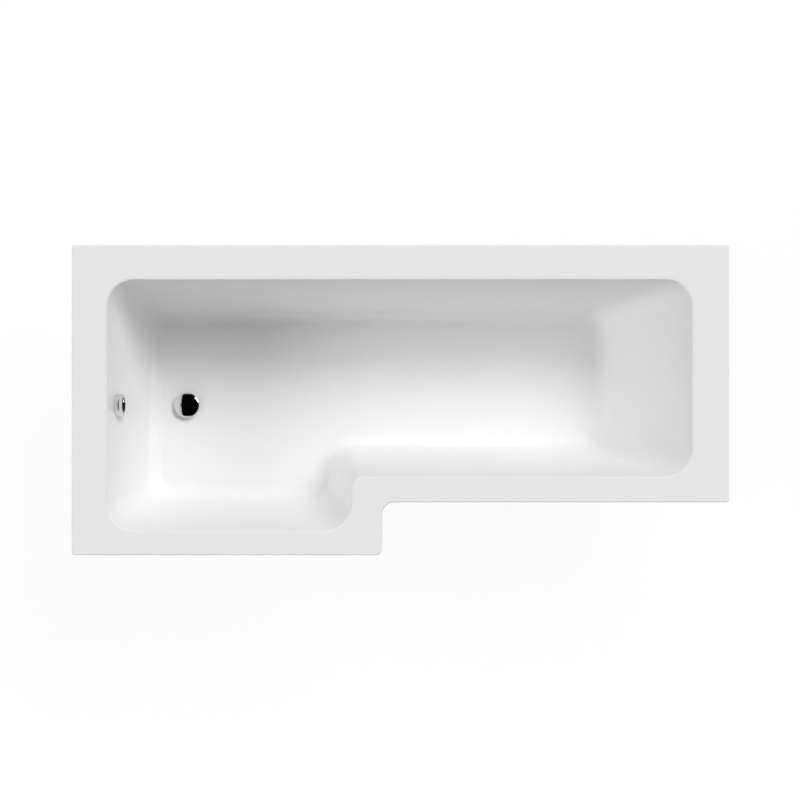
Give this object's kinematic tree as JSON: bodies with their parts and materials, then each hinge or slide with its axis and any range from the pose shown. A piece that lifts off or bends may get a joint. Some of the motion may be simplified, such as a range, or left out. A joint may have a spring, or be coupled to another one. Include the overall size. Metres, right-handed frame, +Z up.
{
  "type": "l-shaped shower bath",
  "caption": "White L-shaped shower bath with a wide showering end and a sloping backrest, on an adjustable leg set, with a pop-up waste and an overflow.",
  "frame": {"origin": "on the floor under the centre of the bath's outline", "axes": "+X along the bath to the sloping backrest, +Y to the wall behind it, +Z up"},
  "size_m": [1.8, 0.85, 0.56],
  "materials": {
    "acrylic": "polished white acrylic",
    "laminate": "resin with chopped glass strands",
    "chipboard": "raw chipboard",
    "softwood": "planed softwood",
    "zinc_steel": "zinc plated",
    "pad_plastic": "moulded",
    "chrome": "polished chrome plate",
    "brass": "turned",
    "spring_steel": "stainless",
    "seal_rubber": "moulded",
    "white_plastic": "moulded",
    "grey_plastic": "moulded",
    "hose_plastic": "ribbed"
  },
  "bodies": {
    "bath": {"base_board": "chipboard", "bath_shell": "acrylic", "centre_foot_bracket": "zinc_steel", "click_cartridge": "brass", "click_spring": "spring_steel", "glass_fibre_backing": "laminate", "hose_nut_lower": "grey_plastic", "hose_nut_upper": "grey_plastic", "hose_seal_lower": "seal_rubber", "hose_seal_upper": "seal_rubber", "leg_bar_rest_end": "zinc_steel", "leg_bar_screws": "zinc_steel", "leg_bar_shower_end": "zinc_steel", "leg_nuts": "zinc_steel", "overflow_cap": "chrome", "overflow_elbow": "white_plastic", "overflow_grid": "white_plastic", "overflow_hose": "hose_plastic", "overflow_screw": "spring_steel", "overflow_seal": "seal_rubber", "rim_batten_back": "softwood", "rim_batten_left": "softwood", "rim_batten_rest_front": "softwood", "rim_batten_right": "softwood", "rim_batten_shower_front": "softwood", "rim_batten_step": "softwood", "wall_bracket_back_left": "zinc_steel", "wall_bracket_back_right": "zinc_steel", "wall_bracket_end": "zinc_steel", "wall_bracket_screws": "zinc_steel", "waste_bottom_seal": "seal_rubber", "waste_flange": "chrome", "waste_tee": "white_plastic", "waste_top_seal": "seal_rubber"},
    "plug": {"plug_cap": "chrome", "plug_stem": "brass", "plug_seal": "seal_rubber"},
    "foot_shower_front": {"foot_stud_shower_front": "zinc_steel", "foot_pad_shower_front": "pad_plastic"},
    "foot_shower_back": {"foot_stud_shower_back": "zinc_steel", "foot_pad_shower_back": "pad_plastic"},
    "foot_rest_front": {"foot_stud_rest_front": "zinc_steel", "foot_pad_rest_front": "pad_plastic"},
    "foot_rest_back": {"foot_stud_rest_back": "zinc_steel", "foot_pad_rest_back": "pad_plastic"},
    "foot_centre": {"foot_stud_centre": "zinc_steel", "foot_pad_centre": "pad_plastic"}
  },
  "joints": [
    {"name": "plug_press", "type": "slide", "parent": "bath", "child": "plug", "axis": [0, 0, 1], "range_m": [-0.007, 0], "stiffness_N_per_m": 800, "springref_m": 0.005, "deforming": ["click_spring"]},
    {"name": "foot_shower_front_screw", "type": "slide", "parent": "bath", "child": "foot_shower_front", "axis": [0, 0, 1], "range_m": [-0.02, 0.015]},
    {"name": "foot_shower_back_screw", "type": "slide", "parent": "bath", "child": "foot_shower_back", "axis": [0, 0, 1], "range_m": [-0.02, 0.015]},
    {"name": "foot_rest_front_screw", "type": "slide", "parent": "bath", "child": "foot_rest_front", "axis": [0, 0, 1], "range_m": [-0.02, 0.015]},
    {"name": "foot_rest_back_screw", "type": "slide", "parent": "bath", "child": "foot_rest_back", "axis": [0, 0, 1], "range_m": [-0.02, 0.015]},
    {"name": "foot_centre_screw", "type": "slide", "parent": "bath", "child": "foot_centre", "axis": [0, 0, 1], "range_m": [-0.02, 0.015]}
  ]
}
